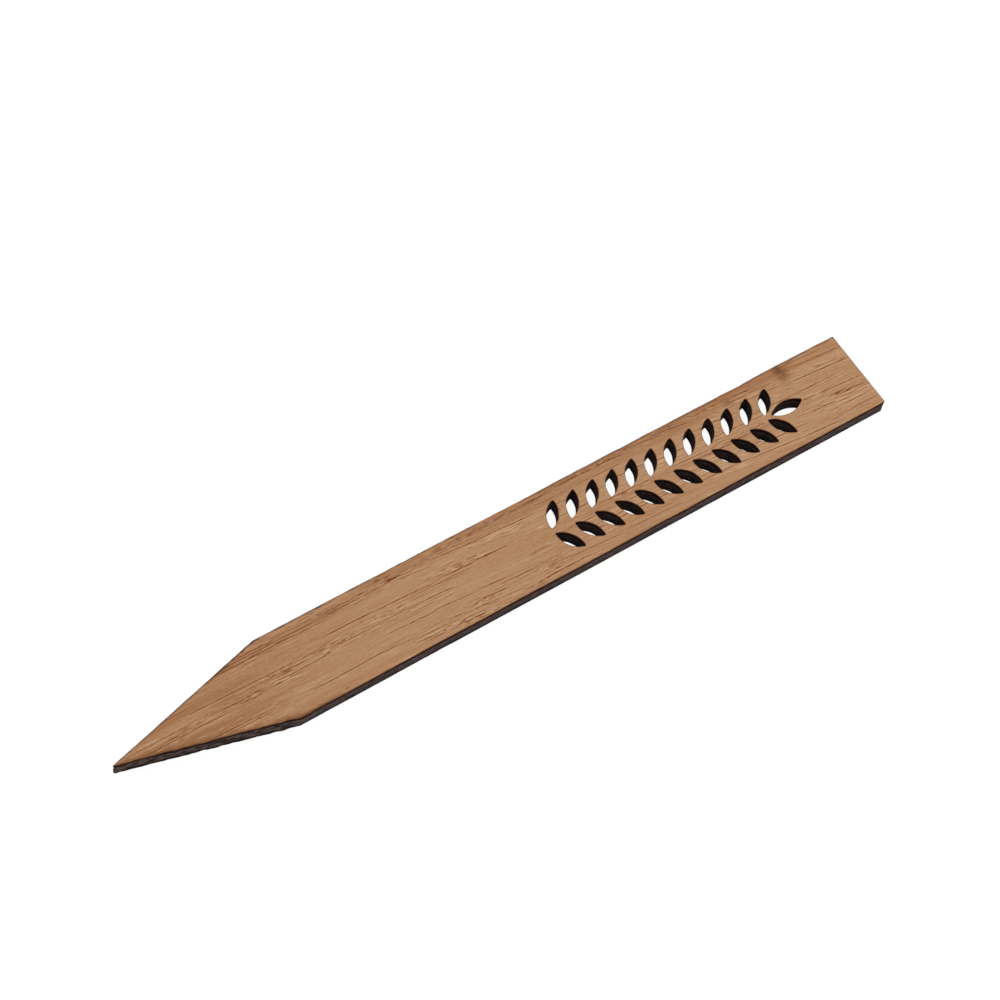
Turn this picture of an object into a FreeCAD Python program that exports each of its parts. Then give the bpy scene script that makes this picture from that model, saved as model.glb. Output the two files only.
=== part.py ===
"""Plant label stake: a flat pointed stake cut from a three-layer veneered board.

Row frame, in millimetres: X runs from the soil point to the blunt end, Y across the stake and Z out of
its front face. The origin is the middle of the back face, which is the face that the stake lies on.

A front veneer and a back veneer are glued to a wood fibre core, and one beam then cuts the outline and
the leaf openings through all three layers. The cut walls lean a little: an opening is narrower at the
back, and the stake itself is wider there.
"""

import FreeCAD
import Part
import Sketcher

import math
import os

PARTS_FOLDER = "parts"

# Driving dimensions: millimetres, degrees and counts.
SIZES = [
    # the stake, as measured on its front face
    ("stake_length", 200.4),
    ("stake_width", 20.9),
    ("point_length", 39.8),
    ("point_tip_radius", 0.05),
    # the layers of the board, and the lean of its cut walls
    ("veneer_thickness", 0.6),
    ("core_thickness", 3.0),
    ("wall_lean_angle", 2.0),
    # the sprig: pairs of slanting leaf openings along a stem of wood, and one leaf at the top
    ("sprig_end_margin", 17.3),
    ("sprig_edge_margin", 3.75),
    ("stem_width", 1.5),
    ("leaf_pairs", 12),
    ("leaf_pitch", 5.5),
    ("leaf_slant_angle", 55.0),
    ("leaf_width", 2.9),
    ("leaf_end_radius", 0.25),
    ("top_leaf_length", 8.8),
    ("top_leaf_width", 3.4),
    ("top_leaf_gap", 1.6),
]

# The layers from the back face to the front, each with its thickness.
LAYERS = [
    ("back_veneer", "Sizes.veneer_thickness"),
    ("core_board", "Sizes.core_thickness"),
    ("front_veneer", "Sizes.veneer_thickness"),
]
BOARD_THICKNESS = "(" + " + ".join(thickness for _, thickness in LAYERS) + ")"
LEAF_RISE = "(Sizes.stake_width / 2 - Sizes.sprig_edge_margin - Sizes.stem_width / 2)"
LEAF_LENGTH = f"({LEAF_RISE} / sin(Sizes.leaf_slant_angle))"
TOP_LEAF_BASE = "(Sizes.stake_length / 2 - Sizes.sprig_end_margin - Sizes.top_leaf_length)"
LEAF_ROW_LENGTH = "(Sizes.leaf_pitch * (Sizes.leaf_pairs - 1))"
FIRST_LEAF_BASE = f"({TOP_LEAF_BASE} - Sizes.top_leaf_gap - {LEAF_ROW_LENGTH})"

# Sketcher's numbers for the points of a curve, and for the sketch's own origin and X axis.
START, END, CENTRE = 1, 2, 3
ORIGIN_AND_X_AXIS = -1


def make_sizes(doc):
    """The sheet that holds every driving dimension under its own name."""
    sheet = doc.addObject("Spreadsheet::Sheet", "Sizes")
    for row, (name, value) in enumerate(SIZES, start=1):
        sheet.set(f"A{row}", name)
        sheet.set(f"B{row}", str(value))
        sheet.setAlias(f"B{row}", name)
    doc.recompute()
    return sheet


def origin_feature(body, role):
    """One of the body's own origin planes or axes."""
    return next(feature for feature in body.Origin.OriginFeatures if feature.Role == role)


def front_face_sketch(body, name):
    """An empty sketch that lies on the board's front face."""
    sketch = body.newObject("Sketcher::SketchObject", name)
    sketch.AttachmentSupport = [(origin_feature(body, "XY_Plane"), "")]
    sketch.MapMode = "FlatFace"
    sketch.setExpression("AttachmentOffset.Base.z", BOARD_THICKNESS)
    return sketch


def join(sketch, kind, chain):
    """Joins the end of each curve of a chain to the start of the next."""
    for first, second in zip(chain, chain[1:]):
        sketch.addConstraint(Sketcher.Constraint(kind, first, END, second, START))


def bind(sketch, name, expression, *dimension):
    """Adds a named dimension to the sketch and ties it to the sheet."""
    index = sketch.addConstraint(Sketcher.Constraint(*dimension))
    sketch.renameConstraint(index, name)
    sketch.setExpression(f"Constraints.{name}", expression)


def line(x1, y1, x2, y2):
    return Part.LineSegment(FreeCAD.Vector(x1, y1, 0), FreeCAD.Vector(x2, y2, 0))


def arc(x, y, radius, start_angle, end_angle):
    circle = Part.Circle(FreeCAD.Vector(x, y, 0), FreeCAD.Vector(0, 0, 1), radius)
    return Part.ArcOfCircle(circle, start_angle, end_angle)


def draw_outline(body, sheet):
    """The stake's outline: a blunt end, two long edges, and a slim point with a rounded tip."""
    sketch = front_face_sketch(body, "outline")
    end = sheet.stake_length / 2
    side = sheet.stake_width / 2
    shoulder = sheet.point_length - end
    radius = sheet.point_tip_radius
    point_angle = math.atan2(side, sheet.point_length)
    top, bottom = math.pi / 2, 3 * math.pi / 2
    blunt_end, left_edge, left_point, tip, right_point, right_edge = range(6)
    sketch.addGeometry(
        [
            line(end, -side, end, side),
            line(end, side, shoulder, side),
            line(shoulder, side, radius - end, radius),
            arc(radius - end, 0, radius, top + point_angle, bottom - point_angle),
            line(radius - end, -radius, shoulder, -side),
            line(shoulder, -side, end, -side),
        ]
    )
    join(sketch, "Coincident", [right_point, right_edge, blunt_end, left_edge, left_point])
    join(sketch, "Tangent", [left_point, tip, right_point])
    sketch.addConstraint(
        [
            Sketcher.Constraint("Horizontal", left_edge),
            Sketcher.Constraint("Horizontal", right_edge),
            Sketcher.Constraint("Symmetric", blunt_end, START, blunt_end, END, ORIGIN_AND_X_AXIS),
            Sketcher.Constraint("Equal", left_edge, right_edge),
            Sketcher.Constraint("PointOnObject", tip, CENTRE, ORIGIN_AND_X_AXIS),
        ]
    )
    half_length = "Sizes.stake_length / 2"
    edge_length = "Sizes.stake_length - Sizes.point_length"
    tip_centre = "Sizes.stake_length / 2 - Sizes.point_tip_radius"
    bind(sketch, "half_length", half_length, "DistanceX", ORIGIN_AND_X_AXIS, START, blunt_end, START, end)
    bind(sketch, "width", "Sizes.stake_width", "DistanceY", blunt_end, START, blunt_end, END, 2 * side)
    bind(sketch, "edge_length", edge_length, "DistanceX", right_edge, START, right_edge, END, end - shoulder)
    bind(sketch, "tip_radius", "Sizes.point_tip_radius", "Radius", tip, radius)
    bind(sketch, "tip_centre", tip_centre, "DistanceX", tip, CENTRE, ORIGIN_AND_X_AXIS, START, end - radius)
    return sketch


def draw_leaf(body, sheet, name, length, width, length_is, width_is):
    """A leaf from the sketch's origin along its X axis: two arcs, and beam-rounded ends between them."""
    sketch = front_face_sketch(body, name)
    end_radius = sheet.leaf_end_radius
    reach = length / 2 - end_radius
    side_radius = (reach**2 + width**2 / 4 - end_radius**2) / (width - 2 * end_radius)
    side_centre = side_radius - width / 2
    half_sweep = math.atan2(reach, side_centre)
    top, bottom = math.pi / 2, 3 * math.pi / 2
    base, lower_side, leaf_tip, upper_side = range(4)
    sketch.addGeometry(
        [
            arc(end_radius, 0, end_radius, top + half_sweep, bottom - half_sweep),
            arc(length / 2, side_centre, side_radius, bottom - half_sweep, bottom + half_sweep),
            arc(length - end_radius, 0, end_radius, half_sweep - top, top - half_sweep),
            arc(length / 2, -side_centre, side_radius, top - half_sweep, top + half_sweep),
        ]
    )
    join(sketch, "Tangent", [base, lower_side, leaf_tip, upper_side, base])
    sketch.addConstraint(
        [
            Sketcher.Constraint("PointOnObject", base, CENTRE, ORIGIN_AND_X_AXIS),
            Sketcher.Constraint("PointOnObject", leaf_tip, CENTRE, ORIGIN_AND_X_AXIS),
            Sketcher.Constraint("Equal", base, leaf_tip),
            Sketcher.Constraint("Equal", lower_side, upper_side),
        ]
    )
    reach_is = f"({length_is} / 2 - Sizes.leaf_end_radius)"
    side_is = (
        f"({reach_is}^2 + ({width_is})^2 / 4 - Sizes.leaf_end_radius^2)"
        f" / ({width_is} - 2 * Sizes.leaf_end_radius)"
    )
    bind(sketch, "end_radius", "Sizes.leaf_end_radius", "Radius", base, end_radius)
    bind(sketch, "side_radius", side_is, "Radius", lower_side, side_radius)
    base_point = ORIGIN_AND_X_AXIS, START
    bind(sketch, "base_centre", "Sizes.leaf_end_radius", "DistanceX", *base_point, base, CENTRE, end_radius)
    bind(sketch, "centres", f"2 * {reach_is}", "DistanceX", base, CENTRE, leaf_tip, CENTRE, 2 * reach)
    return sketch


def cut_through(body, sketch, name):
    """Cuts the sketch through the board and out of its back, with walls that close in as they go down."""
    pocket = body.newObject("PartDesign::Pocket", name)
    pocket.Profile = sketch
    pocket.setExpression("Length", f"1.5 * {BOARD_THICKNESS}")
    pocket.setExpression("TaperAngle", "-Sizes.wall_lean_angle")
    return pocket


def make_cut_profile(doc, sheet):
    """What the beam leaves of a board of full thickness: the outline with its sprig of openings."""
    body = doc.addObject("PartDesign::Body", "cut_profile")
    outline = draw_outline(body, sheet)
    blade = body.newObject("PartDesign::Pad", "blade")
    blade.Profile = outline
    blade.Reversed = True
    blade.setExpression("Length", BOARD_THICKNESS)
    blade.setExpression("TaperAngle", "Sizes.wall_lean_angle")

    rise = sheet.stake_width / 2 - sheet.sprig_edge_margin - sheet.stem_width / 2
    length = rise / math.sin(math.radians(sheet.leaf_slant_angle))
    leaf = draw_leaf(body, sheet, "leaf", length, sheet.leaf_width, LEAF_LENGTH, "Sizes.leaf_width")
    leaf.setExpression("AttachmentOffset.Base.x", FIRST_LEAF_BASE)
    leaf.setExpression("AttachmentOffset.Base.y", "Sizes.stem_width / 2")
    leaf.setExpression("AttachmentOffset.Rotation.Angle", "Sizes.leaf_slant_angle")
    leaf_cut = cut_through(body, leaf, "leaf_cut")

    top_leaf = draw_leaf(
        body,
        sheet,
        "top_leaf",
        sheet.top_leaf_length,
        sheet.top_leaf_width,
        "Sizes.top_leaf_length",
        "Sizes.top_leaf_width",
    )
    top_leaf.setExpression("AttachmentOffset.Base.x", TOP_LEAF_BASE)
    cut_through(body, top_leaf, "top_leaf_cut")
    doc.recompute()

    sprig = body.newObject("PartDesign::MultiTransform", "sprig")
    row = body.newObject("PartDesign::LinearPattern", "leaf_row")
    other_side = body.newObject("PartDesign::Mirrored", "other_side")
    row.Direction = (origin_feature(body, "X_Axis"), [""])
    row.setExpression("Length", LEAF_ROW_LENGTH)
    row.setExpression("Occurrences", "Sizes.leaf_pairs")
    other_side.MirrorPlane = (origin_feature(body, "XZ_Plane"), [""])
    sprig.Originals = [leaf_cut]
    sprig.Transformations = [row, other_side]
    body.Tip = sprig
    return body


def make_layer(doc, cut_profile, name, thickness, bottom):
    """One layer: a sheet that reaches half a stake's width past the stake, and what the beam leaves of it."""
    sheet_stock = doc.addObject("Part::Box", f"{name}_sheet")
    sheet_stock.setExpression("Length", "Sizes.stake_length + Sizes.stake_width")
    sheet_stock.setExpression("Width", "2 * Sizes.stake_width")
    sheet_stock.setExpression("Height", thickness)
    sheet_stock.setExpression("Placement.Base.x", "-(Sizes.stake_length + Sizes.stake_width) / 2")
    sheet_stock.setExpression("Placement.Base.y", "-Sizes.stake_width")
    sheet_stock.setExpression("Placement.Base.z", bottom)
    layer = doc.addObject("Part::Common", name)
    layer.Base = sheet_stock
    layer.Tool = cut_profile
    layer.Label = name
    return layer


def make_layers(doc, cut_profile):
    """The whole stack, each layer lying on the one before."""
    layers = []
    below = ["0"]
    for name, thickness in LAYERS:
        layers.append(make_layer(doc, cut_profile, name, thickness, " + ".join(below)))
        below.append(thickness)
    return layers


def check(doc, layers):
    """Stops the build if a feature failed, or if a layer isn't one sound solid."""
    for item in doc.Objects:
        if "Invalid" in item.State or "Error" in item.State:
            raise RuntimeError(f"{item.Label} failed: {item.State}")
    for layer in layers:
        shape = layer.Shape
        if shape.isNull() or not shape.isValid() or len(shape.Solids) != 1:
            raise RuntimeError(f"{layer.Label} isn't one sound solid")


def main():
    doc = FreeCAD.newDocument("plant_label_stake")
    sheet = make_sizes(doc)
    cut_profile = make_cut_profile(doc, sheet)
    layers = make_layers(doc, cut_profile)
    doc.recompute()
    check(doc, layers)
    os.makedirs(PARTS_FOLDER, exist_ok=True)
    for layer in layers:
        layer.Shape.exportStep(os.path.join(PARTS_FOLDER, f"{layer.Label}.step"))
        print(f"{layer.Label}: {layer.Shape.Volume:.1f} mm3")


main()
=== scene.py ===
# %% [markdown]
# # A plant label stake, cut from veneered board
#
# The object is one flat stake, 200 mm long. A front veneer and a back veneer are glued to a wood fibre
# core, and a laser beam cuts the outline and a sprig of leaf-shaped openings through all three at once.
# This file dresses the imported model of that stake: it builds finer meshes of the three layers, gives them
# the finish of wood and of charred edges, and sets up a plain studio around them.
#
# The first step loads the imported model.

# %% Load the imported model
import math

import bpy
import numpy as np
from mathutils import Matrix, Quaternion, Vector
from mathutils.geometry import delaunay_2d_cdt
from mathutils.kdtree import KDTree


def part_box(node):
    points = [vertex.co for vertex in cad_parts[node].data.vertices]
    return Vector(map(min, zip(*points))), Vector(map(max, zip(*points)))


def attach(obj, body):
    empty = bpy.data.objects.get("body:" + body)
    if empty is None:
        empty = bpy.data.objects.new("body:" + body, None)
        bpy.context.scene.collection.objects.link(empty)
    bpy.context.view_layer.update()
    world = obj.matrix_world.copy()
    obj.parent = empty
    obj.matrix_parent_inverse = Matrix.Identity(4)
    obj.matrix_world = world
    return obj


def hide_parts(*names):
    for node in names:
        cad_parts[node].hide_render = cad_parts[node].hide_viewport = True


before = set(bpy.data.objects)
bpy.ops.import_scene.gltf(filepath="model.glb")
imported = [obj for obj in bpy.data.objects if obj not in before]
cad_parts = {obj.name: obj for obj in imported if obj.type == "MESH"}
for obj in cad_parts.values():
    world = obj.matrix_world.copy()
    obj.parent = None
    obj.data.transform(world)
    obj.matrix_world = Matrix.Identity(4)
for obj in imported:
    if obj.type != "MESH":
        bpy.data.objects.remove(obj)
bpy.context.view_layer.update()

print("packed nodes:", sorted(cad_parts))

# %% [markdown]
# ## The sizes
#
# Everything on the stake is drawn in millimetres and turned into metres only when a mesh is made, because
# a maker thinks of this piece in millimetres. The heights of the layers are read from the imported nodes.
# The outline and the leaf are drawn again here from their few driving sizes, and not copied from the
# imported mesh, because its curves have flat facets, which would show on a dark wall.

# %% Sizes in millimetres
MM = 0.001
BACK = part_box("back_veneer")[0].z / MM
BACK_GLUE_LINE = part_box("core_board")[0].z / MM
FRONT_GLUE_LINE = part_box("core_board")[1].z / MM
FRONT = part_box("front_veneer")[1].z / MM

STAKE_LENGTH = 200.4
STAKE_WIDTH = 20.9
POINT_LENGTH = 39.8
POINT_TIP_RADIUS = 0.05
CORNER_RADIUS = 0.2
WALL_LEAN = math.tan(math.radians(2.0))

SPRIG_END_MARGIN = 17.3
SPRIG_EDGE_MARGIN = 3.75
STEM_WIDTH = 1.5
LEAF_PAIRS = 12
LEAF_PITCH = 5.5
LEAF_SLANT = math.radians(55.0)
LEAF_WIDTH = 2.9
LEAF_END_RADIUS = 0.25
TOP_LEAF_LENGTH = 8.8
TOP_LEAF_WIDTH = 3.4
TOP_LEAF_GAP = 1.6

END = STAKE_LENGTH / 2
SIDE = STAKE_WIDTH / 2
SHOULDER = POINT_LENGTH - END
print(f"layers at {BACK:.2f}, {BACK_GLUE_LINE:.2f}, {FRONT_GLUE_LINE:.2f} and {FRONT:.2f} mm")

# %% [markdown]
# ## The cut lines
#
# A cut line is the closed path that the beam follows on the front face. The stake has one around its
# outline and one around each leaf. Each is a chain of straight runs and arcs, and every point on it also
# carries the direction towards the air. That direction is exact on a run and on an arc, so the walls shade
# evenly, which directions guessed from neighbouring points would not do at the tight leaf ends.

# %% Runs and arcs
CUT_STEP = 0.2
LEAST_ARC_STEPS = 6


def run(start, finish, outward):
    """Points from start up to finish, and the same outward direction at each."""
    count = max(1, round(math.dist(start, finish) / CUT_STEP))
    share = np.arange(count)[:, None] / count
    points = np.array(start) * (1 - share) + np.array(finish) * share
    return points, np.tile(outward, (count, 1))


def arc(centre, radius, first, last):
    """Points along an arc from one angle up to another, and the direction away from its centre at each."""
    count = max(LEAST_ARC_STEPS, round(abs(last - first) * radius / CUT_STEP))
    angles = first + (last - first) * np.arange(count) / count
    outward = np.column_stack([np.cos(angles), np.sin(angles)])
    return np.array(centre) + radius * outward, outward


def chain(*pieces):
    """One closed path from its runs and arcs."""
    return np.concatenate([piece[0] for piece in pieces]), np.concatenate([piece[1] for piece in pieces])


# %% [markdown]
# The outline is a polygon with five corners: the point, two shoulders and two square ends. A beam that
# turns a corner always leaves a small round, so each corner gets an arc that touches both of its sides.
# The point's own corner is worked back from its rounded tip, which is where the stake's length ends.

# %% The outline
def rounded_polygon(corners, radii):
    """A polygon that turns left at every corner, with an arc at each."""
    arcs = []
    for index, corner in enumerate(corners):
        before = np.subtract(corner, corners[index - 1])
        after = np.subtract(corners[(index + 1) % len(corners)], corner)
        before = before / np.hypot(*before)
        after = after / np.hypot(*after)
        turn = math.atan2(before[0] * after[1] - before[1] * after[0], before @ after)
        start = corner - before * radii[index] * math.tan(turn / 2)
        outward = np.array([before[1], -before[0]])
        centre = start - outward * radii[index]
        first = math.atan2(outward[1], outward[0])
        arcs.append((start, centre, radii[index], first, first + turn))
    pieces = []
    for index, (_, centre, radius, first, last) in enumerate(arcs):
        outward = np.array([math.cos(last), math.sin(last)])
        pieces.append(arc(centre, radius, first, last))
        pieces.append(run(centre + radius * outward, arcs[(index + 1) % len(arcs)][0], outward))
    return chain(*pieces)


tip_centre = POINT_TIP_RADIUS - END
to_shoulder = SHOULDER - tip_centre
half_angle = math.atan2(SIDE, to_shoulder) - math.asin(POINT_TIP_RADIUS / math.hypot(SIDE, to_shoulder))
sharp_tip = tip_centre - POINT_TIP_RADIUS / math.sin(half_angle)
outline = rounded_polygon(
    [(sharp_tip, 0), (SHOULDER, -SIDE), (END, -SIDE), (END, SIDE), (SHOULDER, SIDE)],
    [POINT_TIP_RADIUS] + [CORNER_RADIUS] * 4,
)
outline_x = outline[0][:, 0]
print(f"outline: {len(outline_x)} points, from {outline_x.min():.3f} to {outline_x.max():.3f} mm")

# %% [markdown]
# A leaf is two wide arcs that meet in small rounds, as a compass draws it. One leaf is drawn along the X
# axis, then turned, moved and mirrored into its place on the stem, which is how the sprig repeats. In an
# opening the air is inside, so the directions point inwards, and the path is turned round to run
# clockwise. Every cut line then has its air on the right, and one rule can build the walls of them all.

# %% The leaves
def leaf(length, width):
    """A leaf-shaped path from the origin along the X axis."""
    reach = length / 2 - LEAF_END_RADIUS
    radius = (reach**2 + width**2 / 4 - LEAF_END_RADIUS**2) / (width - 2 * LEAF_END_RADIUS)
    rise = radius - width / 2
    sweep = math.atan2(reach, rise)
    up, down = math.pi / 2, 3 * math.pi / 2
    points, outward = chain(
        arc((LEAF_END_RADIUS, 0), LEAF_END_RADIUS, up + sweep, down - sweep),
        arc((length / 2, rise), radius, down - sweep, down + sweep),
        arc((length - LEAF_END_RADIUS, 0), LEAF_END_RADIUS, sweep - up, up - sweep),
        arc((length / 2, -rise), radius, up - sweep, up + sweep),
    )
    return points[::-1], -outward[::-1]


def placed(path, x, y, turn, mirrored=False):
    """The path turned about the origin, moved to (x, y) and, if asked, mirrored across the X axis."""
    rotation = np.array([[math.cos(turn), -math.sin(turn)], [math.sin(turn), math.cos(turn)]])
    points, air = path[0] @ rotation.T + (x, y), path[1] @ rotation.T
    if mirrored:
        points, air = points[::-1] * (1, -1), air[::-1] * (1, -1)
    return points, air


top_leaf_base = END - SPRIG_END_MARGIN - TOP_LEAF_LENGTH
first_leaf_base = top_leaf_base - TOP_LEAF_GAP - LEAF_PITCH * (LEAF_PAIRS - 1)
leaf_length = (SIDE - SPRIG_EDGE_MARGIN - STEM_WIDTH / 2) / math.sin(LEAF_SLANT)
side_leaf = leaf(leaf_length, LEAF_WIDTH)
openings = [placed(leaf(TOP_LEAF_LENGTH, TOP_LEAF_WIDTH), top_leaf_base, 0, 0)]
for number in range(LEAF_PAIRS):
    leaf_base = first_leaf_base + number * LEAF_PITCH
    for mirrored in (False, True):
        openings.append(placed(side_leaf, leaf_base, STEM_WIDTH / 2, LEAF_SLANT, mirrored))
cut_lines = [outline] + openings
print(f"{len(openings)} openings, each side leaf {leaf_length:.2f} mm long")

# %% [markdown]
# ## Random relief that closes on itself
#
# Burnt wood is never smooth: the beam leaves fine stripes down the wall, and the fibre board crumbles into
# small lumps. Both come from one helper, which lays random heights on a lattice and rounds them over. It
# wraps around, so the relief meets itself where the path closes. Every use names its own seed, so the
# stake comes out the same each time.

# %% Relief helper
def lumps(seed, around, depth, cells_around, cell_height):
    """Smooth random heights from -1 to 1. around goes from 0 to 1 along a closed path, depth is in mm."""
    rows = int(FRONT / cell_height) + 2
    heights = np.random.default_rng(seed).uniform(-1, 1, (rows, cells_around))
    across, below = around * cells_around, depth / cell_height
    column, row = np.floor(across).astype(int), int(below)
    u, v = across - column, below - row
    u, v = u * u * (3 - 2 * u), v * v * (3 - 2 * v)
    left, right = column % cells_around, (column + 1) % cells_around
    upper = heights[row, left] * (1 - u) + heights[row, right] * u
    lower = heights[row + 1, left] * (1 - u) + heights[row + 1, right] * u
    return upper * (1 - v) + lower * v


# %% [markdown]
# ## The walls
#
# The beam narrows on its way down, so each wall leans: it stands further into the air at the back than at
# the front. On top of the lean comes the char, which stands out and in about the cut by a few hundredths
# of a millimetre. Its stripes trail backwards with depth, as they do behind a moving beam. The lower edge
# crumbles most along the point, and a few wider dents are listed. The walls of the point also lean
# a little less at the tip and a little more towards the shoulders.

# %% The relief of the char
# (seed, length along the cut, height, depth), all but the seed in mm
STRIPES = (1, 0.42, 6.0, 0.010)
LUMPS = (2, 1.6, 0.9, 0.032)
GRIT = (3, 0.5, 0.3, 0.012)
WANDER = (4, 9.0, 9.0, 0.034)
STRIPE_TRAIL = 0.06
CRUMBS = (5, 1.3, 9.0)
CRUMB_HEIGHT, CRUMB_AT_POINT, CRUMB_ELSEWHERE, LEAST_CRUMB = 1.1, 0.20, 0.03, 0.1
POINT_FADE, CALMER_EDGE = 4, 0.2
CORE_RECESS = 0.03
# (along from the tip, how much further the back stands out) of the point's walls, in mm
POINT_FLARE = [
    (1, 0.0), (4, -0.09), (10, -0.05), (16, 0.0), (24, 0.08), (32, 0.09), (36, 0.19), (40, 0.06), (44, 0.0),
]
# (along from the tip, side, length, depth) of dents in the outline, in mm; a nib has a depth below zero
DENTS = [
    (107.4, 1, 8.0, 0.12), (138.4, 1, 2.5, 0.08), (171.4, 1, 2.5, 0.10), (186.4, 1, 11.0, -0.10),
    (72.4, -1, 6.0, 0.06), (113.4, -1, 9.0, -0.05), (35.4, -1, 0.8, -0.12), (37.4, -1, 1.0, 0.08),
]


def char_relief(path, number, height):
    """Millimetres of wood standing out from the cut at one height, at every point of one cut line."""
    points, air = path
    steps = np.hypot(*(np.roll(points, -1, 0) - points).T)
    along, perimeter = np.cumsum(steps) - steps, steps.sum()
    depth = FRONT - height

    def rough(seed, length, tall, shift=0.0):
        cells = max(3, round(perimeter / length))
        return lumps(100 * number + seed, (along + shift) / perimeter % 1, depth, cells, tall)

    out = STRIPES[3] * rough(*STRIPES[:3], STRIPE_TRAIL * depth**2)
    for seed, length, tall, most in (LUMPS, GRIT, WANDER):
        out += most * rough(seed, length, tall)
    if BACK_GLUE_LINE < height < FRONT_GLUE_LINE:
        out -= CORE_RECESS
    on_point = np.clip((SHOULDER - points[:, 0]) / POINT_FADE + 0.5, 0, 1) if path is outline else 0
    crumb = CRUMB_ELSEWHERE + (CRUMB_AT_POINT - CRUMB_ELSEWHERE) * on_point
    near_back = max(0, 1 - (height - BACK) / CRUMB_HEIGHT)
    out *= 1 + (on_point - CALMER_EDGE) * near_back
    out -= crumb * near_back * np.clip(rough(*CRUMBS) - LEAST_CRUMB, 0, 1 - LEAST_CRUMB)
    if path is outline:
        out += np.interp(points[:, 0] + END, *zip(*POINT_FLARE)) * depth / FRONT
        for dent, side, length, most in DENTS:
            out -= most * np.exp(-(((points[:, 0] + END - dent) / length) ** 2)) * (side * air[:, 1] > 0.5)
    return out


# %% [markdown]
# Near the tip the stake is thinner than a match, and full relief there would turn its outline inside out,
# so it fades over the last two millimetres. The very tip stands out evenly at every height, apart from a
# notch under the veneer and a chip at the back. Where a bit has broken off, the points beyond the break
# are spread evenly along it, so that the outline never folds over itself. Nowhere does the stake grow
# longer or wider than the plain cut is at the back face: it keeps its own sizes.

# %% Every cut line at one height
CALM_LENGTH, CALM_SHARE = 2.0, 0.3
MOST_OUT = WALL_LEAN * FRONT
# (height, length broken off) in mm
BROKEN_TIP = [
    (0.0, 0.35), (0.45, 0.04), (1.2, 0.0), (2.0, 0.0), (2.5, 0.28), (3.1, 0.2), (3.7, 0.05), (4.0, 0.06),
    (4.2, 0.22),
]


def cut_ring(height, rim=0.0):
    """Every cut line at one height, with its lean, its char and the rounding of a rim."""
    lean = WALL_LEAN * (FRONT - height)
    rings = []
    for number, path in enumerate(cut_lines):
        points, air = path
        relief = char_relief(path, number, height) - rim
        if number == 0:
            relief *= np.clip((points[:, 0] + END) / CALM_LENGTH, CALM_SHARE, 1)
            facing_soil = np.clip((-air[:, 0] - math.sin(half_angle)) / (1 - math.sin(half_angle)), 0, 1)
            relief += (MOST_OUT - lean) * facing_soil
        rings.append(points + air * (lean + relief)[:, None])
    outer = rings[0]
    broken_at = np.interp(height, *zip(*BROKEN_TIP)) - END - MOST_OUT
    round_tip = np.roll(np.arange(len(outer)), len(outer) // 2)
    beyond = round_tip[outer[round_tip, 0] < broken_at]
    if len(beyond) > 1:
        outer[beyond, 1] = np.linspace(outer[beyond[0], 1], outer[beyond[-1], 1], len(beyond))
    outer[:, 0] = np.clip(outer[:, 0], broken_at, END + MOST_OUT)
    outer[:, 1] = np.clip(outer[:, 1], -SIDE - MOST_OUT, SIDE + MOST_OUT)
    return rings


char = np.concatenate([char_relief(outline, 0, height) for height in (BACK, FRONT / 2, FRONT)])
print(f"the char stands between {char.min():.3f} and {char.max():.3f} mm, {char.mean():.3f} on average")

# %% [markdown]
# ## The run of the grain
#
# The veneer's fibres don't run quite along the stake: they are level at the point and fall away by five
# and a half degrees at the square end. Every mark in the wood follows them. So the fibres get coordinates
# of their own: how far along, and how far across once that fall is taken out.

# %% Fibre coordinates
FIBRE_FALL = math.tan(math.radians(5.5))
# (length, height, phase) of the waves in the fibres, the first two in mm
FIBRE_WAVES = [(61.0, 0.16, 0.4), (23.0, 0.05, 2.1)]


def fibre_drop(x):
    """How far a fibre that starts at the point has fallen at x."""
    along = (x + END) / STAKE_LENGTH
    drop = FIBRE_FALL * STAKE_LENGTH / 2 * along**2
    for length, height, phase in FIBRE_WAVES:
        drop = drop + height * np.sin(2 * np.pi * x / length + phase)
    return drop


print(f"a fibre falls {float(fibre_drop(END) - fibre_drop(-END)):.1f} mm from end to end")
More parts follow.
